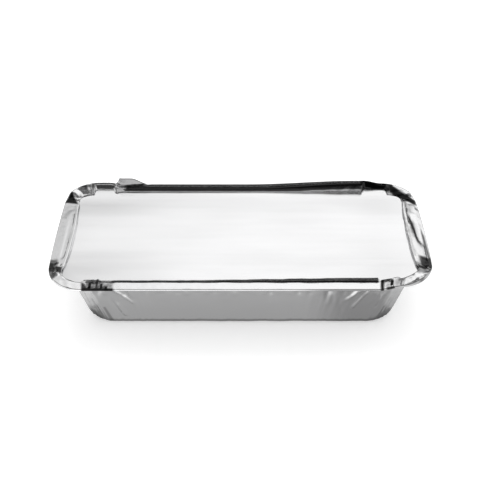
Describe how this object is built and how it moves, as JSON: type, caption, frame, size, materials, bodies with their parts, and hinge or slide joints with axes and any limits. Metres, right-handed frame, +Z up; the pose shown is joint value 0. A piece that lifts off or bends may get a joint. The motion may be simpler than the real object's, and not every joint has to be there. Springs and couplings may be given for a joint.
{
  "type": "foil food container",
  "caption": "Pressed aluminium foil food tray with pleated sloping walls, closed by a foil-faced board lid under its folded rim.",
  "frame": {"origin": "middle of the underside, on the surface that the tray stands on", "axes": "+X along the container's length, +Y across it towards the back, +Z up"},
  "size_m": [0.21, 0.098, 0.0455],
  "materials": {
    "tray_foil": "bright crumpled foil",
    "lid_board": "satin foil face on board"
  },
  "bodies": {
    "root": {"tray": "tray_foil", "lid": "lid_board"}
  },
  "joints": []
}
